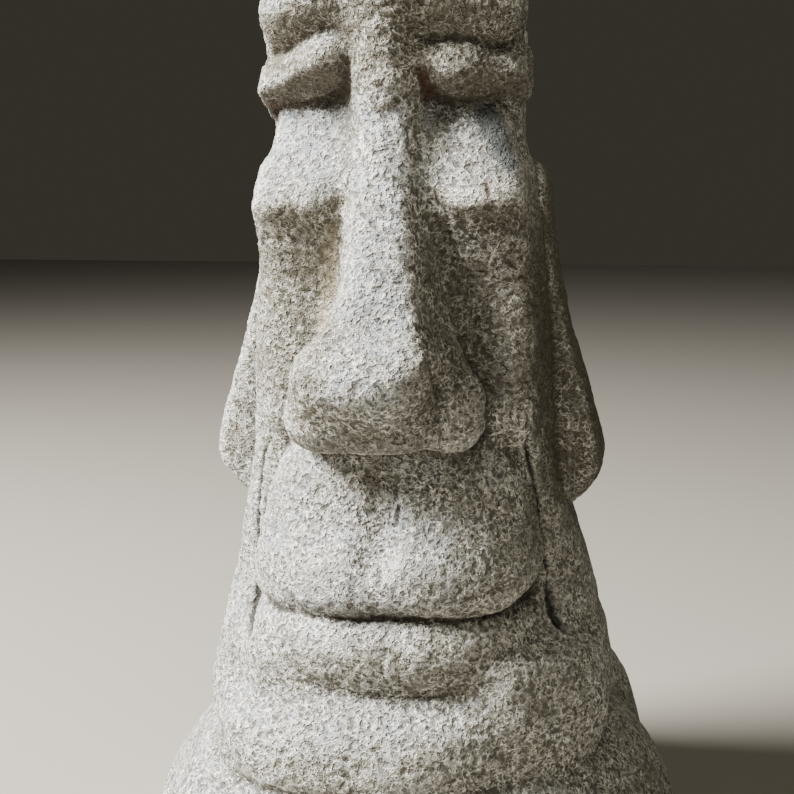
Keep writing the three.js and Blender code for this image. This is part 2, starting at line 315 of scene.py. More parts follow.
# z, reach from the middle; then z, front of the hollow below the eye plane
CHEEK_SIDE = [
    (180, 66), (246, 65), (288, 61.5), (306, 60), (318, 59), (324, 58), (329.5, 54.6), (335, 53.4),
    (350, 53),
]
CHEEK_FRONT = [
    (190, -71), (225, -72), (250, -72.5), (270, -74), (285, -78), (297, -84), (304, -91), (312, -96),
]
CHEEK_FOOT, CHEEK_TOP, CHEEK_BACK = 190, 385, -20
CHEEK_WIDER_RIGHT = 1.5
LEDGE_RISE, LEDGE_RISE_FROM, LEDGE_RISE_TO, LEDGE_RISE_RIGHT = 11, 34, 14, 3
EYE_PLANE = (-67, 353), (-92, 306)
EYE_TURN_FROM, EYE_TURN = 18, 0.003
cheek_reach = curve_through(CHEEK_SIDE, 1)
cheek_front = curve_through(CHEEK_FRONT, 1)


def eye_plane(ax, y, z):
    """The plane below the brow: it leans back towards the brow and turns away towards the temple."""
    return slope((ax, y - turned(ax, EYE_TURN_FROM, EYE_TURN), z), *EYE_PLANE)


def cheek(p):
    """The eye plane, the ledge it ends in, and the hollow cheek below."""
    ax, y, z, x = p
    right = x > 0
    rise = LEDGE_RISE * (1 - smoothstep(ax, LEDGE_RISE_TO, LEDGE_RISE_FROM))
    rise = rise + np.where(right, LEDGE_RISE_RIGHT, 0)
    lean = turned(ax, EYE_TURN_FROM, EYE_TURN) * smoothstep(z, 285, 303)
    hollow = cheek_front(z - rise) + lean - y
    ledge_rounding = lerp(16, 8, smoothstep(ax, 22, 42))
    side_rounding = lerp(np.where(right, 18, 24), 10, smoothstep(z, 282, 306))
    face = overlap(eye_plane(ax, y, z), hollow, ledge_rounding)
    reach = cheek_reach(z) + np.where(right, CHEEK_WIDER_RIGHT, 0)
    block = overlap(face, ax - reach, side_rounding)
    kept = np.maximum(y - CHEEK_BACK, z - CHEEK_TOP)
    return overlap(overlap(block, kept, radius=2), CHEEK_FOOT - z, radius=30)


# z, middle, half width of the front plane, front, spread of the flanks
NOSE = [
    (200, -2, 24, -124, 0.2),
    (240, -1, 24.5, -121, 0.2),
    (249, 0.5, 22, -117.5, 0.2),
    (256, 1.5, 19.2, -115, 0.2),
    (264, 2.2, 16.6, -112.5, 0.22),
    (272, 2.5, 14.6, -110.3, 0.25),
    (288, 2.3, 12.4, -105.5, 0.35),
    (308, 1.3, 10.6, -98.5, 0.48),
    (329, 1, 9.8, -93.3, 0.58),
    (350, 0.5, 9.3, -88.3, 0.6),
    (376, 0, 10, -87, 0.6),
]
NOSE_CORNER, NOSE_FOOT, NOSE_TOP, NOSE_BACK = 8, 234, 376, -50
TIP_SHIFT, TIP_TILT, UNDER_SHIFT = 4, 0.05, 3
nose_at = [curve_through(NOSE, i) for i in range(1, 5)]
# x, y, z, radius
WING_RIGHT = [(19, -82, 250, 7), (24.5, -85, 238, 10.5), (31, -86, 223, 14), (32, -84, 213, 13.5)]
WING_LEFT = [(-19.5, -88, 237, 8), (-24.5, -90, 224, 11.5), (-26, -88, 213.5, 13.5)]


def nose(p):
    _, y, z, x = p
    middle, half, front, spread = (at(z) for at in nose_at)
    flank = (np.abs(x - middle) - half - spread * (y - front)) / np.hypot(1, spread)
    ridge = overlap(flank, front - y, NOSE_CORNER)
    ridge = overlap(ridge, np.maximum(NOSE_FOOT - z, z - NOSE_TOP), radius=14)
    ridge = overlap(ridge, y - NOSE_BACK, radius=4)
    tip = pillow((x + TIP_SHIFT, y, z - TIP_TILT * x), *PILLOWS["nose_tip"])
    under = pillow((x + UNDER_SHIFT, y, z), *PILLOWS["nose_under"])
    wings = np.minimum(rope((x, y, z), WING_RIGHT, blend=4), rope((x, y, z), WING_LEFT, blend=4))
    body = join(join(ridge, tip, radius=9), under, radius=9)
    return join(body, wings, np.where(x > 0, 8, 10))


MOUTH_HEIGHT, MOUTH_TILT = 126.9, 0.01
MOUTH_BOW, MOUTH_BOW_AT, MOUTH_BOW_REACH = 2.4, 8, 20
MOUTH_CORNER, MOUTH_CORNER_LIFT_RIGHT, MOUTH_CORNER_LIFT_LEFT, MOUTH_CORNER_POWER = 64, 9, 5, 8


def mouth_height(x):
    bow = MOUTH_BOW * np.exp(-(((x - MOUTH_BOW_AT) / MOUTH_BOW_REACH) ** 2))
    lift = np.where(x > 0, MOUTH_CORNER_LIFT_RIGHT, MOUTH_CORNER_LIFT_LEFT)
    corner = lift * (x / MOUTH_CORNER) ** MOUTH_CORNER_POWER
    return MOUTH_HEIGHT + MOUTH_TILT * x + bow + corner


MUZZLE_SQUEEZE_LEFT = 1.06
MUZZLE_FLARE, MUZZLE_FLARE_BELOW = 0.155, 154
# x, y, z, radius
PHILTRUM = [(1, -97.8, 188, 9), (2.5, -100, 176, 9), (1.5, -105.3, 166, 9), (0, -111.6, 158, 9)]


def upper_lip(p):
    """The muzzle and the lip's pad, with a soft hollow down the middle, cut off along the mouth."""
    ax, y, z, x = p
    across = ax * np.where(x < 0, MUZZLE_SQUEEZE_LEFT, 1.0) - MUZZLE_FLARE * (MUZZLE_FLARE_BELOW - z)
    muzzle = pillow((across, y, z), *PILLOWS["muzzle"])
    pad = pillow((across, y, z), *PILLOWS["lip_pad"])
    body = cut(join(muzzle, pad, radius=12), rope((x, y, z), PHILTRUM, blend=4), radius=6)
    return overlap(body, mouth_height(x) - z, radius=6)


LIP_SHIFT, LIP_TURN_FROM, LIP_TURN, LIP_TURN_RIGHT = 2, 20, 0.003, 0.08


def lower_lip(p):
    ax, y, z, x = p
    back = turned(ax, LIP_TURN_FROM, LIP_TURN) + LIP_TURN_RIGHT * np.maximum(x - LIP_TURN_FROM, 0)
    return pillow((x - LIP_SHIFT, y - back, z), *PILLOWS["lower_lip"])


# x, y, z, radius
LEFT_FILL = [(-32, -73, 98, 19), (-46, -68, 99, 18), (-57, -55, 100, 16)]


def left_fill(p):
    """What lies between the lower lip and the jaw on the left, where their groove has run out."""
    _, y, z, x = p
    return rope((x, y, z), LEFT_FILL, blend=4)


JAW_TILT, JAW_TURN_FROM, JAW_TURN = 0.03, 2, 0.0032


def jaw(p):
    ax, y, z, x = p
    return pillow((ax, y - turned(x, JAW_TURN_FROM, JAW_TURN), z - JAW_TILT * x), *PILLOWS["jaw"])


# z, reach from the middle
EAR = [
    (150, 70), (168, 90), (180, 92.5), (195, 92.5), (205, 90.3), (220, 86), (235, 81),
    (250, 77), (265, 73.5), (280, 70.5), (308, 67.5), (318, 66), (330, 63),
]
EAR_FRONT, EAR_BACK, EAR_TOP = -38, -10, 328
LOBE_AT, LOBE_FACING = (78, 168), (0.62, 0.78)
ear_reach = curve_through(EAR, 1)


def ear(p):
    """A long flat slab at the side; its lobe is cut off aslant below."""
    ax, y, z = p[:3]
    slab = overlap(ax - ear_reach(z), overlap(EAR_FRONT - y, y - EAR_BACK, radius=6), radius=8)
    lobe = (ax - LOBE_AT[0]) * LOBE_FACING[0] - (z - LOBE_AT[1]) * LOBE_FACING[1]
    return overlap(overlap(slab, lobe, radius=10), z - EAR_TOP, radius=12)


FOREHEAD_BLEND, GROUND_ROUNDING = 6, 3


def clay(points):
    """The whole head, from points in millimetres."""
    x, y, z = points.T
    p = (np.abs(x), y, z, x)
    neck_blend = lerp(1.5, 45, smoothstep(y, 15, 90))
    jaw_blend = lerp(10, 28, smoothstep(x, 30, 66) * smoothstep(-y, 30, 52))
    below_lip, above_lip = lerp(14, 24, smoothstep(x, 28, 60)), np.where(x < 0, 9, 5)
    d = join(join(trunk(p), jaw(p), jaw_blend), foot(p), neck_blend)
    d = overlap(join(d, forehead(p), FOREHEAD_BLEND), crown_dome(p), CROWN_ROUNDING)
    laid_on = (
        (cheek, 2.5),
        (brow_roll, 2.5),
        (ear, 1.5),
        (lower_lip, lerp(below_lip, above_lip, smoothstep(z, 104, 120))),
        (left_fill, 10),
        (upper_lip, 2.5),
        (nose, np.where(z > 250, 8, 4)),
    )
    for form, blend in laid_on:
        d = join(d, form(p), blend)
    return overlap(d, -z, GROUND_ROUNDING)


PROBE = 0.05
LEAST_STEEPNESS, LONGEST_STEP = 0.3, 4


def press_onto_clay(points, times):
    """Moves points (in metres) onto the surface of the clay."""
    p = points / MM
    for _ in range(times):
        d = clay(p)
        gradient = np.stack([(clay(p + PROBE * axis) - d) / PROBE for axis in np.eye(3)], axis=1)
        steepness = np.maximum((gradient ** 2).sum(axis=1), LEAST_STEEPNESS)
        step = np.clip(d / steepness, -LONGEST_STEP, LONGEST_STEP)
        p = p - gradient * step[:, None]
    return p * MM


# ---- The skin: a fine, even mesh pressed onto the clay ----

COARSE_VOXEL = 2.4 * MM
VOXEL = 1.25 * MM
MERGED_WITHIN = 0.01 * MM


def remesh(piece, voxel):
    skin = piece.modifiers.new("skin", "REMESH")
    skin.mode = "VOXEL"
    skin.voxel_size = voxel
    bpy.context.view_layer.objects.active = piece
    bpy.ops.object.modifier_apply(modifier=skin.name)


def copy_of(node, name):
    """A copy of a CAD node whose triangles share their points."""
    bpy.ops.object.select_all(action="DESELECT")
    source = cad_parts[node]
    piece = bpy.data.objects.new(name, source.data.copy())
    piece.data.name = name
    piece.data.materials.clear()
    bpy.context.scene.collection.objects.link(piece)
    piece.select_set(True)
    bpy.context.view_layer.objects.active = piece
    bpy.ops.object.mode_set(mode="EDIT")
    bpy.ops.mesh.select_all(action="SELECT")
    bpy.ops.mesh.remove_doubles(threshold=MERGED_WITHIN)
    bpy.ops.object.mode_set(mode="OBJECT")
    return piece


def read(items, name, width, kind=np.float32):
    flat = np.empty(len(items) * width, kind)
    items.foreach_get(name, flat)
    return flat.reshape(-1, width)


def points_of(mesh):
    return read(mesh.vertices, "co", 3).astype(np.float64)


def normals_of(mesh):
    return read(mesh.vertex_normals, "vector", 3).astype(np.float64)


def set_points(mesh, points):
    mesh.vertices.foreach_set("co", points.astype(np.float32).ravel())
    mesh.update()


class Evening:
    """Averages a value over each point's neighbours."""

    def __init__(self, mesh):
        self.edges = read(mesh.edges, "vertices", 2, np.int32)
        self.count = len(mesh.vertices)
        self.degree = np.bincount(self.edges.ravel(), minlength=self.count).astype(float)
        self.degree[self.degree == 0] = 1.0

    def once(self, values):
        a, b = self.edges[:, 0], self.edges[:, 1]
        if values.ndim == 1:
            total = np.bincount(a, values[b], self.count) + np.bincount(b, values[a], self.count)
            return total / self.degree
        return np.stack([self.once(values[:, i]) for i in range(values.shape[1])], axis=1)

    def times(self, values, times, strength):
        for _ in range(times):
            values = values + (self.once(values) - values) * strength
        return values


# ---- Strokes of the chisel on the finished skin ----

def smooth_path(path, step=1.0):
    """Points every step millimetres along a curve through the path's points."""
    knots = np.array(path, float)
    ends = np.vstack([2 * knots[0] - knots[1], knots, 2 * knots[-1] - knots[-2]])
    found = []
    for i in range(1, len(ends) - 2):
        a, b, c, e = ends[i - 1:i + 3]
        count = max(2, int(np.linalg.norm(c[:3] - b[:3]) / step))
        t = np.arange(count)[:, None] / count
        bend = 2 * a - 5 * b + 4 * c - e
        twist = 3 * b - a - 3 * c + e
        found.append(0.5 * (2 * b + (c - a) * t + bend * t ** 2 + twist * t ** 3))
    return np.vstack(found + [knots[-1:]])


# Each groove: its path on the stone as (x, y, z), its width and its depth. It fades at both ends.
GROOVES = {
    "fold_right": ([
        (57.6, -60, 209), (60.5, -57, 197), (62.6, -54, 187), (65.1, -51, 173), (67, -50, 159),
        (68.5, -50, 150), (70.3, -48, 140), (72.2, -50, 133), (74, -52, 126),
    ], 1.2, 2.3),
    "pocket_right": ([(71.5, -50, 136), (73.4, -52, 129), (75.5, -53, 122), (77.5, -53, 115)], 3.4, 3.6),
    "fold_left": ([
        (-57, -60, 200), (-63.2, -55, 192), (-65.4, -52, 182), (-67.3, -50, 168),
        (-68.7, -48, 153), (-68.5, -50, 142), (-69, -50, 134),
    ], 1.0, 2.0),
    "pocket_left": ([
        (-68.4, -50, 133), (-68.2, -53, 126), (-68.2, -57, 120.5), (-66.8, -66, 114), (-65, -76, 108.5),
    ], 3.6, 4.4),
    "mouth": ([
        (-57, -64, 129.5), (-53, -70, 128), (-47.7, -75, 126.9), (-38, -84, 126.2), (-27, -90, 125.7),
        (-12, -96, 126.9), (2, -98, 128.7), (15, -98, 129.9), (28, -96, 129.2), (40, -90, 127.8),
        (48, -84, 127.9), (56, -75, 130.4), (63, -60, 136), (66, -50, 145),
    ], 1.3, 1.4),
    "philtrum": ([(5.5, -91, 186), (7, -93, 178), (6.6, -96, 169)], 1.3, 1.4),
    "under_lip": ([
        (-37, -93, 98.4), (-18, -97, 95.5), (2, -99, 94.5), (20, -99, 95), (37, -97, 97), (52, -93, 100),
    ], 8.0, 1.5),
    "crack_upper": ([
        (-28, -97, 97), (-21, -97, 94.3), (-13.7, -99, 97.3), (-7, -99, 95.5), (2, -99, 96),
        (11, -100, 98.4), (20, -99, 96.2),
    ], 1.0, 0.8),
    "crack_right": ([
        (16, -99, 99), (28.6, -98, 97.5), (37, -97, 100), (45, -95, 99.8), (54, -92, 102),
    ], 1.0, 0.8),
    "crack_lower": ([
        (-18, -98, 91), (-9, -99, 92), (-2, -99, 90.5), (11, -99, 93), (24, -98, 92.5), (34, -97, 95),
    ], 1.0, 0.8),
    "wing_crease": ([
        (27, -116, 247), (28.3, -111.7, 238), (28.4, -103, 228), (28.6, -102, 218), (26, -106, 211),
    ], 4.2, 2.8),
    "eye_crack": ([(44.9, -84, 317), (46, -85.5, 313), (46.7, -87, 309.5)], 0.9, 1.3),
    "temple_left": ([(-54, -62, 352), (-54.5, -60, 344), (-56, -58, 336)], 2.6, 3.4),
}
# A groove reaches this many of its widths, and fades over one part in FADE of its length. It draws
# the stone beside it in by the share PINCH. The narrow ones get painted shade, darker where they are
# deep.
GROOVE_REACH, FADE = 6, 6
PINCH, PINCH_REACH = 0.35, 2.2
NARROW, DARKEST_DEPTH = 4, 2.2


def carve(mesh, evening):
    points = points_of(mesh)
    normals = evening.times(normals_of(mesh), 4, strength=0.7)
    normals /= np.linalg.norm(normals, axis=1)[:, None]
    tree = BVHTree.FromPolygons([tuple(p) for p in points], [tuple(f.vertices) for f in mesh.polygons])
    moved = points.copy()
    painted_groove_shade = np.zeros(len(points))
    for path, width, depth in GROOVES.values():
        line = smooth_path(path) * MM
        line = np.array([tree.find_nearest(Vector(q))[0] for q in line])
        along = np.linspace(0, 1, len(line))
        fade = np.clip(np.minimum(along, 1 - along) * FADE, 0, 1) ** 0.5
        low, high = line.min(0) - GROOVE_REACH * width * MM, line.max(0) + GROOVE_REACH * width * MM
        near = np.where(((points > low) & (points < high)).all(axis=1))[0]
        gaps = np.linalg.norm(points[near, None, :] - line[None, :, :], axis=2)
        closest = gaps.argmin(axis=1)
        gap = gaps[np.arange(len(near)), closest] / (width * MM)
        strength = fade[closest]
        sunk = depth * np.exp(-(gap ** 1.5)) * strength
        drawn = PINCH * np.exp(-((gap / PINCH_REACH) ** 2)) * strength
        pinch = (line[closest] - points[near]) * drawn[:, None]
        moved[near] += pinch - normals[near] * (sunk * MM)[:, None]
        # Narrow grooves get painted shade, darker where they are deep.
        if width < NARROW:
            painted_groove_shade[near] = np.maximum(painted_groove_shade[near], np.clip(sunk / DARKEST_DEPTH, 0, 1) ** 1.3)
    set_points(mesh, moved)
    write_value(mesh, "painted_groove_shade", painted_groove_shade)


# ---- Fewer faces where nothing fine shows ----

PLAIN_SHARE = 0.2
TRIANGLES_WANTED = 184000
PLAIN_BEHIND, PLAIN_BELOW = -6, 4


def is_plain(piece):
    """Which faces show nothing fine: the back, the sides behind the ears, the underside."""
    _, y, z = read(piece.data.polygons, "center", 3).T / MM
    return (y > PLAIN_BEHIND) | (z < PLAIN_BELOW)


def triangles(mesh, chosen):
    corners = read(mesh.polygons, "loop_total", 1, np.int32)[:, 0]
    return int((corners[chosen] - 2).sum())


def thin(piece, chosen, share):
    """Leaves a share of the chosen faces' triangles, fewest where the stone is flattest."""
    bpy.ops.object.select_all(action="DESELECT")
    piece.select_set(True)
    bpy.context.view_layer.objects.active = piece
    bpy.ops.object.mode_set(mode="EDIT")
    bpy.ops.mesh.select_mode(type="FACE")
    bpy.ops.mesh.select_all(action="DESELECT")
    bpy.ops.object.mode_set(mode="OBJECT")
    piece.data.polygons.foreach_set("select", chosen)
    bpy.ops.object.mode_set(mode="EDIT")
    bpy.ops.mesh.decimate(ratio=share)
    bpy.ops.object.mode_set(mode="OBJECT")


def thin_the_front(piece):
    plain = is_plain(piece)
    left_over = TRIANGLES_WANTED - triangles(piece.data, plain)
    thin(piece, ~plain, left_over / triangles(piece.data, ~plain))


# ---- The stone's relief: what the mould, the weather and a stiff brush left on it ----

def at_each(points, function):
    return np.array([function(q) for q in points.tolist()])


def waves(points, size, octaves=3):
    """Soft noise between about -1 and 1, with lumps of the given size in millimetres."""
    return at_each(points / size, lambda q: noise.fractal(q, 0.9, 2.1, octaves))


def nearest_speck(points, size):
    """Distance to the nearest of scattered points that lie about a size apart, in sizes."""
    return at_each(points / size, lambda q: noise.voronoi(q)[0][0])


def warped(points, size, amount):
    q = (points / size).tolist()
    return points + amount * np.array([noise.noise_vector(v) for v in q])


def regions(face):
    """How strongly each kind of surface shows at each point, from 0 to 1."""
    x, y, z = face.T
    ax = np.abs(x)
    front = 1 - smoothstep(y, -45, -20)
    return {
        "front": front,
        "foot": 1 - smoothstep(z, 40, 62),
        "eye": front * smoothstep(z, 306, 314) * (1 - smoothstep(z, 348, 356)) * smoothstep(ax, 13, 19),
        "cheek": front * smoothstep(z, 205, 225) * (1 - smoothstep(z, 296, 304)) * smoothstep(ax, 22, 32),
    }


# Height or depth of each layer of the relief, in millimetres.
RELIEF = {"pits": 0.55, "gouges": 1.1, "lumps": 0.5, "dents": 0.45, "swell": 0.8, "holes": 1.1}
GOUGE_STRETCH, GOUGE_LEAN = (0.42, 0.42, 1.0), (0.0, 0.0, 0.25)


def relief(face):
    """Height of the relief in millimetres, and how deep its pits are from 0 to 1.

    What is added to the points takes each layer's noise from another place.
    """
    zone = regions(face)
    quiet = 1 - 0.5 * zone["eye"]
    patchy = smoothstep(waves(face + 31, 22, 2), -0.3, 0.4)
    bent = warped(face, 5, 1.5)
    pit = smoothstep(waves(bent, 2.5, 2), -0.25, 0.4)
    stipple = lerp(0.4, 1.0, patchy) * lerp(0.35, 1.0, zone["front"])
    stipple *= lerp(1.0, 0.6, zone["foot"])
    drawn_out = bent * np.array(GOUGE_STRETCH) + face[:, :1] * np.array(GOUGE_LEAN)
    gouge = (1 - smoothstep(nearest_speck(drawn_out + 57, 3.0), 0.12, 0.5)) * zone["cheek"]
    gouge *= lerp(0.25, 1.0, smoothstep(waves(face + 83, 16, 2), -0.2, 0.5))
    hole = 1 - smoothstep(nearest_speck(face + 17, 15.0), 0.03, 0.08)
    height = -RELIEF["pits"] * stipple * pit * quiet
    height -= RELIEF["gouges"] * gouge
    height += RELIEF["lumps"] * waves(face + 5, 4.2, 2) * zone["front"] * quiet
    height += RELIEF["dents"] * quiet * waves(face, 9, 3) + RELIEF["swell"] * waves(face + 9, 34, 2)
    height -= RELIEF["holes"] * hole
    return height, np.clip(pit * stipple + gouge, 0, 1)


# ---- Where the stone is stained, painted with shade or skylight, or smooth: values at its points, read by the finish ----

# Each kind of spot: its strokes (from, to, radius), and how strongly it shows.
SPOTS = {
    "patch": ([
        ((43, -70, 344), (49, -74, 335), 6.2),
        ((49, -74, 335), (54, -78, 325), 5.5),
    ], 0.9),
    "tan": ([
        ((-23.5, -78, 296), (-27, -74, 268), 4.2),
        ((-27, -74, 268), (-30, -76, 250), 3.4),
    ], 0.4),
    # Painted shade down the philtrum, under the nose, along the mouth and in the mouth's corners.
    "painted_nook_shade": ([
        ((-3, -90, 186), (-4, -97, 165), 3.2),
        ((-30, -100, 206), (-8, -113, 206), 6.5),
        ((-8, -113, 206), (22, -109, 206), 6.5),
        ((-38, -96, 133), (0, -106, 133), 5.0),
        ((0, -106, 133), (40, -92, 134), 5.0),
        ((-68.2, -53, 126), (-67.5, -62, 116), 3.0),
        ((75, -53, 124), (77.5, -53, 115), 2.6),
    ], 0.45),
    "rust": ([
        ((-53, -66, 350), (-53.5, -64, 338), 2.6),
        ((44.9, -84, 317), (46.7, -87, 309.5), 0.9),
        ((17, -80, 362), (18, -76, 354), 4.0),
        ((40, -72, 280), (42, -72, 276), 2.4),
    ], 0.7),
}
SPOT_EDGE = 0.35
SKYWARD = np.array([-0.45, -0.45, 0.77])
BROAD_ROUNDS, FINE_ROUNDS, HOLLOW_STRENGTH = 30, 3, 0.8


def write_value(mesh, name, values):
    attribute = mesh.attributes.new(name, "FLOAT", "POINT")
    attribute.data.foreach_set("value", values.astype(np.float32))


def hollowness(points, normals, evening, rounds):
    """Positive in hollows and negative on crests, in millimetres."""
    eased = evening.times(points, rounds, HOLLOW_STRENGTH)
    return ((eased - points) * normals).sum(axis=1) / MM


def front_only(y):
    return 1 - smoothstep(y, -50, -30)


def off_nose(x):
    return smoothstep(np.abs(x - 2), 12, 22)


def brown_and_shade_cover(face, normals):
    """Brown, partly the stone's own and partly painted shade: the brow's shade, the cheeks, the right
    ear's face, what hangs over, the nose's left flank.
    """
    x, y, z = face.T
    front, beside = front_only(y), off_nose(x)
    brow = lerp(1.0, 0.3, smoothstep(z, 368, 382)) * smoothstep(z - 6 * (1 - beside), 352, 364) * front
    cheeks = beside * smoothstep(z, 210, 230) * (1 - smoothstep(z, 295, 305))
    cheeks *= 1 - smoothstep(y, -60, -40)
    # The right ear's face lies on the side away from the key light: painted shade there.
    ear_face = smoothstep(x, 62, 68) * smoothstep(z, 155, 180)
    # Painted shade on faces turned down.
    beneath = smoothstep(-normals[:, 2], 0.05, 0.4) * smoothstep(z, 290, 310) * front
    flank = smoothstep(-x, 10, 13) * (1 - smoothstep(-x, 16, 24)) * smoothstep(z, 296, 308) * front
    return np.maximum.reduce([0.9 * brow, 0.75 * cheeks, ear_face, 1.5 * beneath, 0.35 * flank])


def painted_skylight_cover(face, normals):
    """Painted skylight on faces turned up and left to the lights, the nose's bridge, the muzzle's left
    half, the left eye plane.
    """
    x, y, z = face.T
    upward = smoothstep(normals @ SKYWARD, 0.35, 0.95)
    bridge = (1 - off_nose(x)) * smoothstep(z, 216, 236) * (1 - smoothstep(z, 348, 360))
    bridge *= smoothstep(-normals[:, 1], 0.55, 0.85)
    muzzle = smoothstep(z, 118, 128) * (1 - smoothstep(z, 165, 195)) * (1 - smoothstep(x, -5, 45))
    lit_eye = smoothstep(-x, 14, 24) * smoothstep(z, 306, 318) * front_only(y)
    return np.maximum.reduce([0.75 * upward, bridge, 0.5 * muzzle, 0.85 * lit_eye])


def painted_side_shade_cover(face, normals):
    """Painted shade on the upper part of the right side, which faces away from the key light."""
    x, _, z = face.T
    return 0.75 * smoothstep(normals[:, 0], 0.6, 0.9) * smoothstep(x, 59, 65) * smoothstep(z, 130, 190)


def painted_overhang_shade_cover(face, normals):
    """Painted shade on what hangs over, most of all under the brow."""
    _, y, z = face.T
    overhang = smoothstep(-normals[:, 2], 0.15, 0.65) * smoothstep(z, 335, 345) * front_only(y)
    return lerp(0.4, 0.1, smoothstep(z, 364, 374)) * overhang


def spot_cover(face, strokes):
    """1 on the strokes, with ragged edges."""
    ragged = warped(face, 4, 1.2).T
    cover = np.zeros(len(face))
    for a, b, radius in strokes:
        edge = SPOT_EDGE * radius
        cover = np.maximum(cover, 1 - smoothstep(strand(ragged, a, b, radius, radius), -edge, edge))
    return cover


def weather(piece):
    """Lays the relief on the skin, then writes where the finish differs."""
    mesh = piece.data
    evening = Evening(mesh)
    points, normals = points_of(mesh), normals_of(mesh)
    height, pits = relief(points / MM)
    broad = hollowness(points, normals, evening, BROAD_ROUNDS)
    points = points + normals * (height * MM)[:, None]
    set_points(mesh, points)
    normals = normals_of(mesh)
    face = points / MM
    brown_and_shade = brown_and_shade_cover(face, normals)
    painted_skylight = painted_skylight_cover(face, normals) * (1 - np.clip(brown_and_shade, 0, 1))
    values = {
        "pits": pits,
        "broad_hollow": broad,
        "fine_hollow": hollowness(points, normals, evening, FINE_ROUNDS),
        "brown_and_shade": np.clip(brown_and_shade + 0.5 * waves(face + 71, 18, 3), 0, 1),
        "painted_skylight": np.clip(painted_skylight + 0.35 * waves(face + 11, 14, 3), 0, 1),
        "painted_side_shade": painted_side_shade_cover(face, normals),
        "painted_overhang_shade": painted_overhang_shade_cover(face, normals),
        "net": 1 - 0.15 * regions(face)["eye"],
    }
    for name, (strokes, strength) in SPOTS.items():
        values[name] = strength * spot_cover(face, strokes)
    for name, shown in values.items():
        write_value(mesh, name, shown)


def build_statue():
    piece = copy_of("moai_statue", "statue_stone")
    mesh = piece.data
    remesh(piece, COARSE_VOXEL)
    points = press_onto_clay(points_of(mesh), times=4)
    set_points(mesh, Evening(mesh).times(points, 2, strength=0.5))
    set_points(mesh, press_onto_clay(points_of(mesh), times=2))
    remesh(piece, VOXEL)
    set_points(mesh, press_onto_clay(points_of(mesh), times=3))
    evening = Evening(mesh)
    set_points(mesh, evening.times(points_of(mesh), 1, strength=0.5))
    carve(mesh, evening)
    thin(piece, is_plain(piece), PLAIN_SHARE)
    weather(piece)
    thin_the_front(piece)
    mesh.polygons.foreach_set("use_smooth", np.ones(len(mesh.polygons), bool))
    return piece


# ---- The finish: dull cast stone, pale where a brush caught it and dark in its pits, with painted shade and skylight ----

BODY = (0.195, 0.188, 0.155, 1.0)
BODY_DARKER = (0.13, 0.122, 0.095, 1.0)
RIDGE = (0.88, 0.87, 0.80, 1.0)
# Painted skylight: a blue tint for faces turned towards the lights.
PAINTED_SKYLIGHT = (0.44, 0.54, 0.72, 1.0)
# The dark of the skin's pits, also used as painted shade in small hollows and the relief's pits.
PIT = (0.075, 0.066, 0.05, 1.0)
# Painted shade, the darkest: narrow grooves and pinholes.
PAINTED_DEEP_SHADE = (0.03, 0.025, 0.02, 1.0)
# Brown, used both as the stone's own brown and as painted shade.
BROWN_AND_SHADE = (0.115, 0.102, 0.073, 1.0)
PATCH = (0.078, 0.086, 0.09, 1.0)
TAN = (0.40, 0.345, 0.235, 1.0)
RUST = (0.075, 0.032, 0.02, 1.0)
# Painted shade: the dark laid in big hollows, under overhangs and in nooks.
PAINTED_SHADE = (0.055, 0.044, 0.031, 1.0)
# Painted shade for the side turned away from the key light.
PAINTED_SIDE_SHADE = (0.075, 0.072, 0.045, 1.0)

STONE_ROUGHNESS, STONE_SPECULAR = 0.92, 0.3
BUMP_STRENGTH, BUMP_DISTANCE = 1.0, 0.0013

# Waves per metre, detail and roughness of each noise.
NET_BROAD = (300.0, 1.5, 0.5)
NET_NARROW = (560.0, 1.5, 0.5)
GRAIN = (1000.0, 2.0, 0.7)
BREAKS = (150.0, 2.0, 0.6)
MOTTLE = (55.0, 4.0, 0.6)
PATCHES = (38.0, 3.0, 0.55)
STAINS = (170.0, 3.0, 0.6)
SPECKS_PER_METRE = 430.0

# The net's lines run where a noise crosses its middle, and are this wide.
NET_LEVEL, NET_LINE = 0.5, 0.055


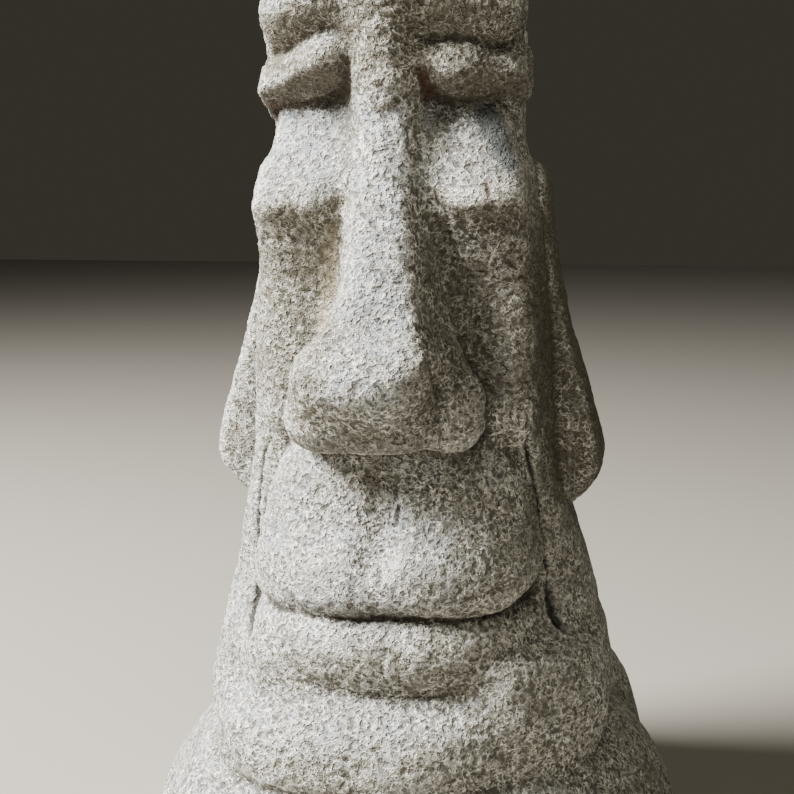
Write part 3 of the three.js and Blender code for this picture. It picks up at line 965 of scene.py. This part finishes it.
class Sheet:
    """Lays out shader nodes; a number or a colour may stand wherever a socket may."""

    def __init__(self, tree):
        self.tree = tree

    def node(self, kind, **settings):
        made = self.tree.nodes.new(kind)
        for name, value in settings.items():
            setattr(made, name, value)
        return made

    def link(self, source, target):
        self.tree.links.new(source, target)

    def feed(self, given, socket):
        if isinstance(given, (int, float, tuple)):
            socket.default_value = given
        else:
            self.link(given, socket)

    def value(self, name):
        return self.node("ShaderNodeAttribute", attribute_name=name).outputs["Fac"]

    def math(self, operation, a, b=0.0):
        made = self.node("ShaderNodeMath", operation=operation)
        self.feed(a, made.inputs[0])
        self.feed(b, made.inputs[1])
        return made.outputs["Value"]

    def plus(self, a, b):
        return self.math("ADD", a, b)

    def minus(self, a, b):
        return self.math("SUBTRACT", a, b)

    def times(self, a, b):
        return self.math("MULTIPLY", a, b)

    def larger(self, a, b):
        return self.math("MAXIMUM", a, b)

    def between(self, source, low, high, to_low=0.0, to_high=1.0):
        made = self.node("ShaderNodeMapRange", interpolation_type="SMOOTHSTEP")
        ends = (("From Min", low), ("From Max", high), ("To Min", to_low), ("To Max", to_high))
        for name, given in (("Value", source), *ends):
            self.feed(given, made.inputs[name])
        return made.outputs["Result"]

    def contour(self, source, level, reach):
        """1 where a noise crosses a level, falling to 0 on both sides of the line."""
        return self.between(self.math("ABSOLUTE", self.minus(source, level)), 0.0, reach, 1.0, 0.0)

    def mix(self, factor, a, b):
        made = self.node("ShaderNodeMix", data_type="RGBA")
        for socket, given in ((made.inputs[0], factor), (made.inputs[6], a), (made.inputs[7], b)):
            self.feed(given, socket)
        return made.outputs[2]

    def noise(self, place, scale, detail, roughness):
        made = self.node("ShaderNodeTexNoise")
        self.link(place, made.inputs["Vector"])
        for name, given in (("Scale", scale), ("Detail", detail), ("Roughness", roughness)):
            self.feed(given, made.inputs[name])
        return made.outputs["Fac"]


def painted_pinhole_shade(sheet, place):
    """Painted shade of a few small round holes, with no hole in the surface: the middles of one cell in
    twenty or so.
    """
    speck = sheet.node("ShaderNodeTexVoronoi", feature="F1")
    sheet.feed(SPECKS_PER_METRE, speck.inputs["Scale"])
    sheet.link(place, speck.inputs["Vector"])
    apart = sheet.node("ShaderNodeSeparateColor")
    sheet.link(speck.outputs["Color"], apart.inputs["Color"])
    chosen = sheet.between(apart.outputs[1], 0.95, 0.98)
    return sheet.times(chosen, sheet.between(speck.outputs["Distance"], 0.30, 0.12))


def pitted_skin():
    """The fine net of ridges round shallow pits that the mould left, as masks and as a height, with
    painted shade for a few pinholes.
    """
    tree = bpy.data.node_groups.new("pitted_skin", "ShaderNodeTree")
    tree.interface.new_socket("Place", in_out="INPUT", socket_type="NodeSocketVector")
    for name in ("Ridge", "Pit", "Pinhole_shade", "Height"):
        tree.interface.new_socket(name, in_out="OUTPUT", socket_type="NodeSocketFloat")
    sheet = Sheet(tree)
    place = sheet.node("NodeGroupInput").outputs["Place"]
    result = sheet.node("NodeGroupOutput")
    broad = sheet.noise(place, *NET_BROAD)
    narrow = sheet.noise(place, *NET_NARROW)
    grain = sheet.noise(place, *GRAIN)
    broken = sheet.between(sheet.noise(place, *BREAKS), 0.32, 0.56, 0.35, 1.0)
    thick_line = sheet.contour(broad, NET_LEVEL, NET_LINE)
    thin_line = sheet.contour(narrow, NET_LEVEL, NET_LINE)
    line = sheet.times(broken, sheet.larger(thick_line, sheet.times(thin_line, 0.9)))
    ridge = sheet.minus(line, sheet.times(grain, 0.25))
    sunk = sheet.larger(sheet.between(broad, 0.45, 0.28), sheet.between(narrow, 0.47, 0.30))
    rough = sheet.times(sheet.minus(grain, 0.5), 1.3)
    rough_sunk = sheet.plus(sheet.times(sunk, 1.2), rough)
    raised = sheet.plus(sheet.times(grain, 0.35), sheet.times(line, 0.4))
    sheet.link(sheet.larger(ridge, 0.0), result.inputs["Ridge"])
    sheet.link(sheet.between(rough_sunk, 0.2, 1.0), result.inputs["Pit"])
    sheet.link(painted_pinhole_shade(sheet, place), result.inputs["Pinhole_shade"])
    sheet.link(sheet.minus(raised, sheet.times(sunk, 0.6)), result.inputs["Height"])
    return tree


def stone_colour(sheet, place, skin, net):
    """The body's colour, and over it the layers, each laid on where it shows."""
    patchy = sheet.between(sheet.noise(place, *PATCHES), 0.38, 0.62, 0.65, 1.0)
    stains = sheet.noise(place, *STAINS)
    fine, broad = sheet.value("fine_hollow"), sheet.value("broad_hollow")
    brown_and_shade = sheet.value("brown_and_shade")
    crest = sheet.between(broad, -0.05, -0.9)
    painted_skylight = sheet.times(sheet.value("painted_skylight"), sheet.between(stains, 0.3, 0.6, 1.0, 0.45))
    clean = sheet.times(sheet.minus(1.0, sheet.times(brown_and_shade, 0.5)), net)
    ridge = sheet.times(sheet.times(skin.outputs["Ridge"], sheet.larger(patchy, crest)), clean)
    pit = sheet.times(skin.outputs["Pit"], sheet.times(patchy, net))
    # where it shows, how strongly, its colour
    layers = [
        (sheet.between(sheet.noise(place, *MOTTLE), 0.38, 0.62), 0.7, BODY_DARKER),
        (sheet.between(stains, 0.42, 0.68), 0.6, BODY_DARKER),
        (sheet.between(fine, 0.02, -0.2), 0.28, RIDGE),
        (crest, 0.1, RIDGE),
        # Painted skylight on the faces turned towards the lights.
        (painted_skylight, 0.4, PAINTED_SKYLIGHT),
        # The stone's own brown, and painted shade under the brow, on undersides and on the right ear.
        (brown_and_shade, 0.85, BROWN_AND_SHADE),
        (ridge, 1.3, RIDGE),
        (pit, 0.7, PIT),
        # Painted shade in the relief's pits and gouges.
        (sheet.between(sheet.value("pits"), 0.5, 1.0), 0.15, PIT),
        # Painted shade in the small hollows.
        (sheet.between(fine, 0.08, 0.35), 0.5, PIT),
        # Painted shade in the big hollows.
        (sheet.between(broad, 0.5, 2.4), 0.7, PAINTED_SHADE),
        # Painted shade on the right side.
        (sheet.value("painted_side_shade"), 1.0, PAINTED_SIDE_SHADE),
        (sheet.value("patch"), 1.0, PATCH),
        (sheet.value("tan"), 1.0, TAN),
        # Painted shade under what hangs over.
        (sheet.value("painted_overhang_shade"), 1.0, PAINTED_SHADE),
        # Painted shade under the nose, along the mouth and in the mouth's corners.
        (sheet.value("painted_nook_shade"), 1.0, PAINTED_SHADE),
        # Painted shade in the narrow grooves.
        (sheet.value("painted_groove_shade"), 0.85, PAINTED_DEEP_SHADE),
        (sheet.value("rust"), 1.0, RUST),
        # Painted shade of pinholes.
        (skin.outputs["Pinhole_shade"], 1.0, PAINTED_DEEP_SHADE),
    ]
    colour = BODY
    for shows, strength, tint in layers:
        colour = sheet.mix(sheet.times(shows, strength), colour, tint)
    return colour


def stone_material():
    stone = bpy.data.materials.new("weathered_cast_stone")
    stone.use_nodes = True
    sheet = Sheet(stone.node_tree)
    shader = stone.node_tree.nodes["Principled BSDF"]
    place = sheet.node("ShaderNodeTexCoord").outputs["Object"]
    skin = sheet.node("ShaderNodeGroup", node_tree=pitted_skin())
    sheet.link(place, skin.inputs["Place"])
    net = sheet.value("net")
    sheet.link(stone_colour(sheet, place, skin, net), shader.inputs["Base Color"])
    shader.inputs["Roughness"].default_value = STONE_ROUGHNESS
    shader.inputs["Specular IOR Level"].default_value = STONE_SPECULAR
    bump = sheet.node("ShaderNodeBump")
    bump.inputs["Strength"].default_value = BUMP_STRENGTH
    bump.inputs["Distance"].default_value = BUMP_DISTANCE
    sheet.link(sheet.times(skin.outputs["Height"], net), bump.inputs["Height"])
    sheet.link(bump.outputs["Normal"], shader.inputs["Normal"])
    return stone


make_camera()
make_floor()
make_light()
statue = build_statue()
statue.data.materials.append(stone_material())
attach(statue, "root")
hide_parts("moai_statue")
